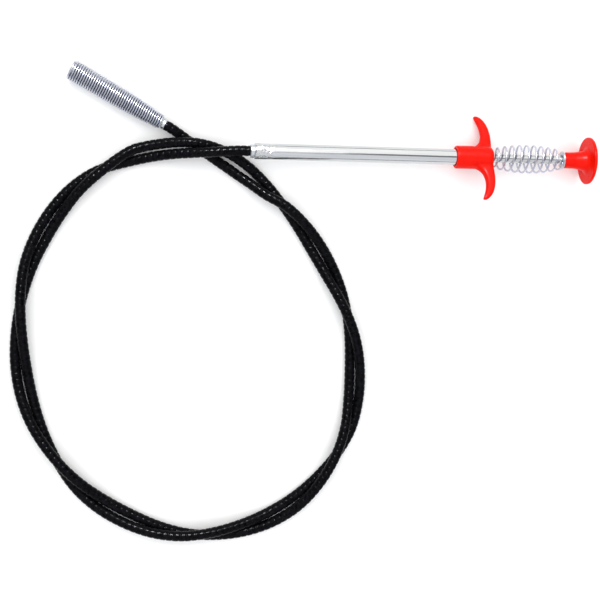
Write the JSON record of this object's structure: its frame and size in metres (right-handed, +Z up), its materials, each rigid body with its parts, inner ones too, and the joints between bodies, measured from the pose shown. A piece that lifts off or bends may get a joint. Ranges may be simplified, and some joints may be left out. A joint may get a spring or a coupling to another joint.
{
  "type": "drain auger",
  "caption": "Hand-held drain auger: a thumb plunger works a spring-wire claw at the end of a long flexible ribbed hose.",
  "frame": {"origin": "under the middle of the handle, on the surface that the tool lies on", "axes": "+X along the handle from the hose end to the thumb button, +Z up from the surface, +Y to the side that the spring head lies on"},
  "size_m": [0.3329, 0.2712, 0.0274],
  "materials": {
    "chrome": "polished",
    "zinc_plate": "bright zinc plate",
    "red_plastic": "moulded, glossy",
    "bush_plastic": "moulded, plain",
    "spring_steel": "bright drawn wire",
    "cable_steel": "stranded wire",
    "black_vinyl": "satin, fine ribs"
  },
  "bodies": {
    "body": {"handle_tube": "chrome", "tube_ferrule": "zinc_plate", "finger_guard": "red_plastic", "guide_bush": "bush_plastic", "return_spring": "spring_steel", "hose_sheath": "black_vinyl", "hose_coil_liner": "spring_steel", "inner_cable": "cable_steel", "head_ferrule": "zinc_plate", "head_spring": "spring_steel"},
    "plunger": {"thumb_button": "red_plastic", "spring_washer": "zinc_plate", "plunger_rod": "chrome", "rod_stop_collar": "zinc_plate", "cable_crimp": "zinc_plate", "cable_handle_end": "cable_steel"},
    "claw": {"claw_carrier": "zinc_plate", "cable_claw_end": "cable_steel"},
    "finger_1": {"claw_finger_1": "spring_steel"},
    "finger_2": {"claw_finger_2": "spring_steel"},
    "finger_3": {"claw_finger_3": "spring_steel"},
    "finger_4": {"claw_finger_4": "spring_steel"}
  },
  "joints": [
    {"name": "plunger_slide", "type": "slide", "parent": "body", "child": "plunger", "axis": [-1, 0, 0], "range_m": [0, 0.025], "stiffness_N_per_m": 300, "springref_m": -0.008, "deforming": ["return_spring"]},
    {"name": "claw_slide", "type": "slide", "parent": "body", "child": "claw", "axis": [-0.8746, 0.4848, 0], "range_m": [0, 0.025]},
    {"name": "finger_1_spread", "type": "hinge", "parent": "claw", "child": "finger_1", "pos_m": [-0.17929, 0.02979, 0.00701], "axis": [0.3428, 0.6184, 0.7071], "range_deg": [0, 16]},
    {"name": "finger_2_spread", "type": "hinge", "parent": "claw", "child": "finger_2", "pos_m": [-0.17826, 0.03164, 0.00701], "axis": [0.3428, 0.6184, -0.7071], "range_deg": [0, 16]},
    {"name": "finger_3_spread", "type": "hinge", "parent": "claw", "child": "finger_3", "pos_m": [-0.17826, 0.03164, 0.00489], "axis": [-0.3428, -0.6184, -0.7071], "range_deg": [0, 16]},
    {"name": "finger_4_spread", "type": "hinge", "parent": "claw", "child": "finger_4", "pos_m": [-0.17929, 0.02979, 0.00489], "axis": [-0.3428, -0.6184, 0.7071], "range_deg": [0, 16]}
  ],
  "couplings": [
    {"joint": "claw_slide", "follows": "plunger_slide", "ratio": 1},
    {"joint": "finger_1_spread", "follows": "plunger_slide", "rad_per_m": 11},
    {"joint": "finger_2_spread", "follows": "plunger_slide", "rad_per_m": 11},
    {"joint": "finger_3_spread", "follows": "plunger_slide", "rad_per_m": 11},
    {"joint": "finger_4_spread", "follows": "plunger_slide", "rad_per_m": 11}
  ]
}
